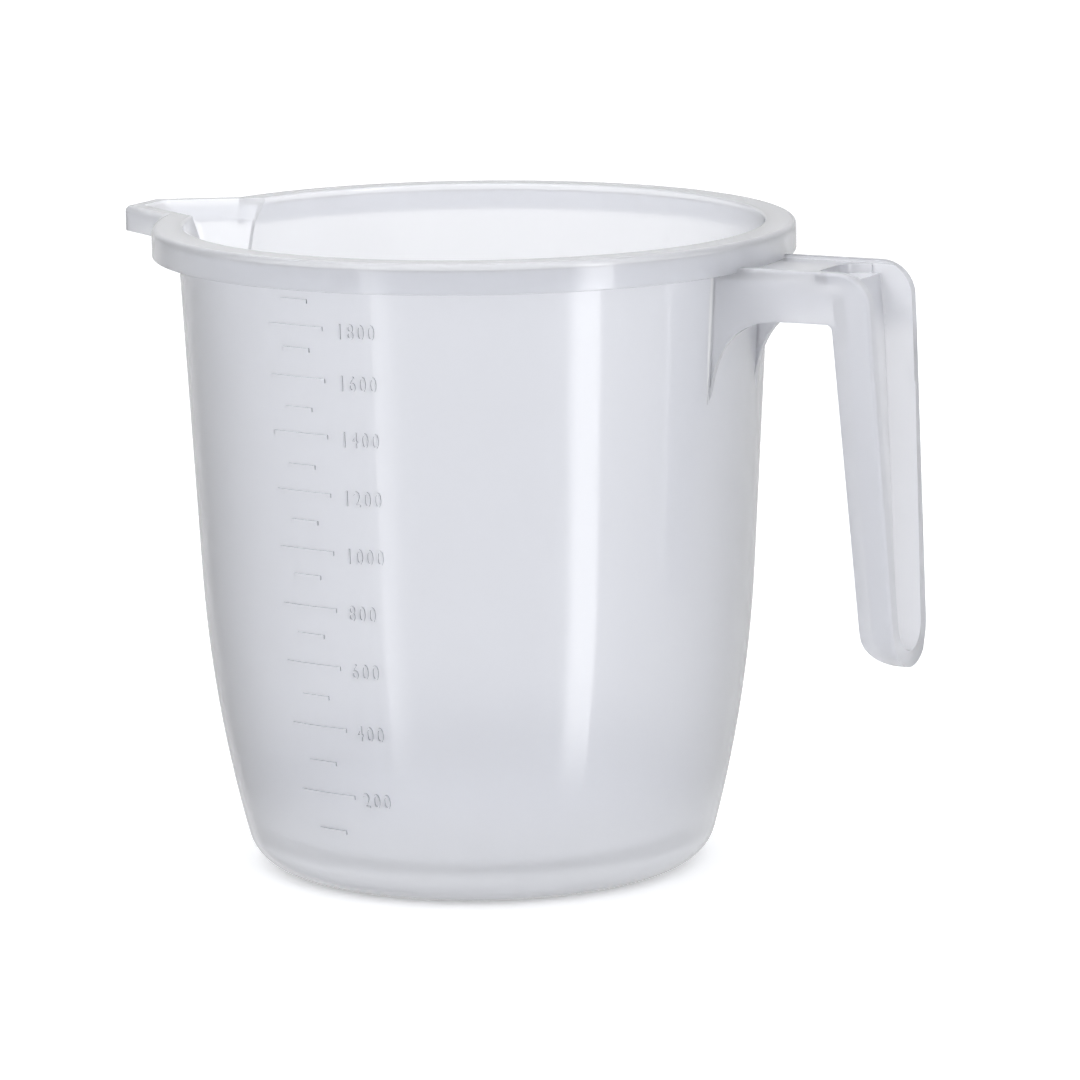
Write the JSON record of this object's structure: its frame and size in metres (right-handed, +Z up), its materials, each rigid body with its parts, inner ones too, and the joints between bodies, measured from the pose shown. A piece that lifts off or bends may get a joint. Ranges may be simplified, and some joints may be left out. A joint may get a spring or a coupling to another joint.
{
  "type": "measuring jug",
  "caption": "Round translucent plastic measuring jug with a turned-down rim, a pointed pouring lip, a raised scale and an open-channel handle.",
  "frame": {"origin": "on the vessel's axis, in the plane that the foot stands on", "axes": "+Z up along the vessel's axis, +X towards the handle, -X towards the pouring lip"},
  "size_m": [0.2105, 0.1572, 0.1585],
  "materials": {
    "vessel_plastic": "translucent natural polypropylene, smooth and glossy",
    "rim_plastic": "translucent natural polypropylene, glossy, milkier because two layers overlap",
    "handle_plastic": "translucent natural polypropylene, glossy, milkier because it is thicker",
    "scale_plastic": "raised bars in the same translucent plastic as the wall"
  },
  "bodies": {
    "root": {"bottom_bowl": "vessel_plastic", "foot_ring": "vessel_plastic", "vessel_wall": "vessel_plastic", "rim_flange": "rim_plastic", "rim_skirt": "rim_plastic", "lip_flange": "rim_plastic", "lip_skirt": "rim_plastic", "lip_channel": "rim_plastic", "handle_cheek_left": "handle_plastic", "handle_cheek_right": "handle_plastic", "handle_top_plate": "handle_plastic", "handle_web": "handle_plastic", "handle_tip": "handle_plastic", "long_marks": "scale_plastic", "short_marks": "scale_plastic"}
  },
  "joints": []
}
